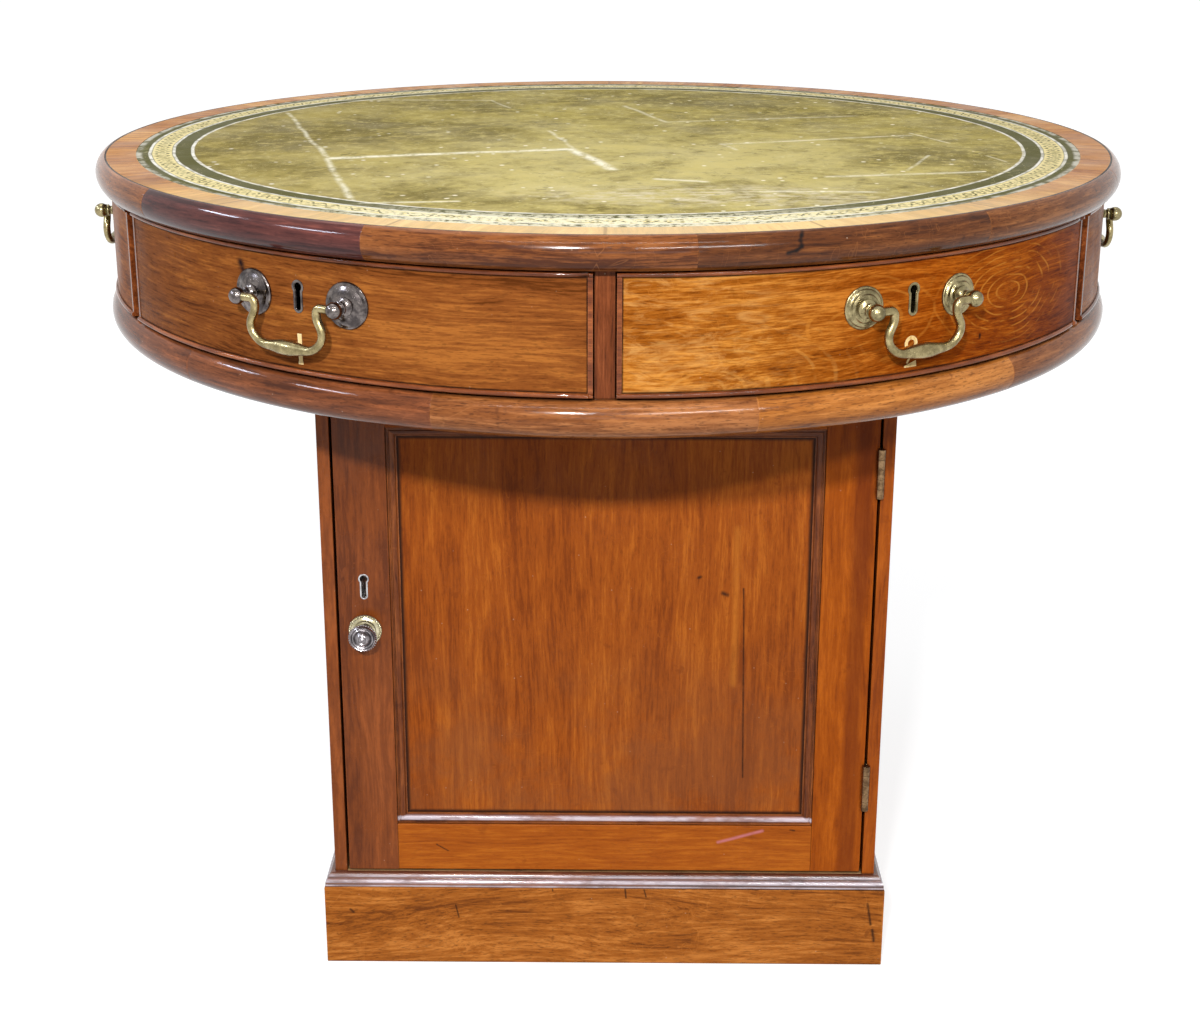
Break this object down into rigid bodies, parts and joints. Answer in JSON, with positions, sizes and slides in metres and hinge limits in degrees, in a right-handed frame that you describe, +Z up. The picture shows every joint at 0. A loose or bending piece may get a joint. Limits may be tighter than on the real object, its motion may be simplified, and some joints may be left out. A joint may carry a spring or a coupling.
{
  "type": "drum-top desk",
  "caption": "Revolving round leather-topped desk with curved frieze drawers, turning on a square pedestal cupboard with a panelled door and plinth.",
  "frame": {"origin": "on the floor under the middle of the desk", "axes": "+Z up, -Y out of the cupboard door, +X to the right of a person facing the door"},
  "size_m": [1.0408, 1.0202, 0.79],
  "materials": {
    "mahogany": "french polished, worn at the edges",
    "inner_wood": "bare, aged",
    "crossband": "french polished cross-grain veneer",
    "stringing": "dark stained line",
    "leather": "worn green hide with gilt tooling",
    "brass": "aged, rubbed",
    "iron": "dark"
  },
  "bodies": {
    "pedestal": {"plinth_boards": "mahogany", "plinth_moulding": "mahogany", "carcass_left_side": "mahogany", "carcass_right_side": "mahogany", "carcass_back": "mahogany", "carcass_floor": "inner_wood", "carcass_top": "inner_wood", "cupboard_shelf": "inner_wood", "fixed_hinge_leaves": "brass", "hinge_pins": "brass", "swivel_spindle": "iron", "spindle_nut": "iron", "lower_swivel_plate": "iron"},
    "drum": {"top_board": "inner_wood", "leather_inset": "leather", "crossband": "crossband", "stringing": "stringing", "edge_moulding": "mahogany", "base_moulding": "mahogany", "drum_base": "inner_wood", "drum_core": "inner_wood", "drum_dividers": "inner_wood", "frieze_stiles": "mahogany", "drawer_runners": "inner_wood", "upper_swivel_plate": "iron", "spindle_bush": "brass"},
    "door": {"door_stiles": "mahogany", "door_rails": "mahogany", "door_panel": "mahogany", "door_panel_moulding": "mahogany", "door_knob": "brass", "knob_backplate": "brass", "door_escutcheon": "brass", "door_lock": "brass", "moving_hinge_leaves": "brass"},
    "door_bolt": {"door_bolt": "brass"},
    "drawer_1": {"drawer_1_front": "mahogany", "drawer_1_box": "inner_wood", "drawer_1_fittings": "brass"},
    "bail_1": {"drawer_1_bail": "brass"},
    "drawer_2": {"drawer_2_front": "mahogany", "drawer_2_box": "inner_wood", "drawer_2_fittings": "brass"},
    "bail_2": {"drawer_2_bail": "brass"},
    "drawer_3": {"drawer_3_front": "mahogany", "drawer_3_box": "inner_wood", "drawer_3_fittings": "brass"},
    "bail_3": {"drawer_3_bail": "brass"},
    "drawer_4": {"drawer_4_front": "mahogany", "drawer_4_box": "inner_wood", "drawer_4_fittings": "brass"},
    "bail_4": {"drawer_4_bail": "brass"},
    "drawer_5": {"drawer_5_front": "mahogany", "drawer_5_box": "inner_wood", "drawer_5_fittings": "brass"},
    "bail_5": {"drawer_5_bail": "brass"},
    "drawer_6": {"drawer_6_front": "mahogany", "drawer_6_box": "inner_wood", "drawer_6_fittings": "brass"},
    "bail_6": {"drawer_6_bail": "brass"}
  },
  "joints": [
    {"name": "drum_turn", "type": "hinge", "parent": "pedestal", "child": "drum", "pos_m": [0, 0, 0.64], "axis": [0, 0, 1], "continuous": true},
    {"name": "door_swing", "type": "hinge", "parent": "pedestal", "child": "door", "pos_m": [0.2547, -0.2719, 0.35], "axis": [0, 0, 1], "range_deg": [0, 170]},
    {"name": "door_bolt_throw", "type": "slide", "parent": "door", "child": "door_bolt", "axis": [-1, 0, 0], "range_m": [0, 0.009]},
    {"name": "drawer_1_slide", "type": "slide", "parent": "drum", "child": "drawer_1", "axis": [-0.5, -0.866, 0], "range_m": [0, 0.27]},
    {"name": "bail_1_swing", "type": "hinge", "parent": "drawer_1", "child": "bail_1", "pos_m": [-0.25679, -0.44477, 0.722], "axis": [-0.866, 0.5, 0], "range_deg": [-12, 110]},
    {"name": "drawer_2_slide", "type": "slide", "parent": "drum", "child": "drawer_2", "axis": [0.5, -0.866, 0], "range_m": [0, 0.27]},
    {"name": "bail_2_swing", "type": "hinge", "parent": "drawer_2", "child": "bail_2", "pos_m": [0.25679, -0.44477, 0.722], "axis": [-0.866, -0.5, 0], "range_deg": [-12, 110]},
    {"name": "drawer_3_slide", "type": "slide", "parent": "drum", "child": "drawer_3", "axis": [1, 0, 0], "range_m": [0, 0.27]},
    {"name": "bail_3_swing", "type": "hinge", "parent": "drawer_3", "child": "bail_3", "pos_m": [0.51357, 0, 0.722], "axis": [0, -1, 0], "range_deg": [-12, 110]},
    {"name": "drawer_4_slide", "type": "slide", "parent": "drum", "child": "drawer_4", "axis": [0.5, 0.866, 0], "range_m": [0, 0.27]},
    {"name": "bail_4_swing", "type": "hinge", "parent": "drawer_4", "child": "bail_4", "pos_m": [0.25679, 0.44477, 0.722], "axis": [0.866, -0.5, 0], "range_deg": [-12, 110]},
    {"name": "drawer_5_slide", "type": "slide", "parent": "drum", "child": "drawer_5", "axis": [-0.5, 0.866, 0], "range_m": [0, 0.27]},
    {"name": "bail_5_swing", "type": "hinge", "parent": "drawer_5", "child": "bail_5", "pos_m": [-0.25679, 0.44477, 0.722], "axis": [0.866, 0.5, 0], "range_deg": [-12, 110]},
    {"name": "drawer_6_slide", "type": "slide", "parent": "drum", "child": "drawer_6", "axis": [-1, 0, 0], "range_m": [0, 0.27]},
    {"name": "bail_6_swing", "type": "hinge", "parent": "drawer_6", "child": "bail_6", "pos_m": [-0.51357, 0, 0.722], "axis": [0, 1, 0], "range_deg": [-12, 110]}
  ]
}
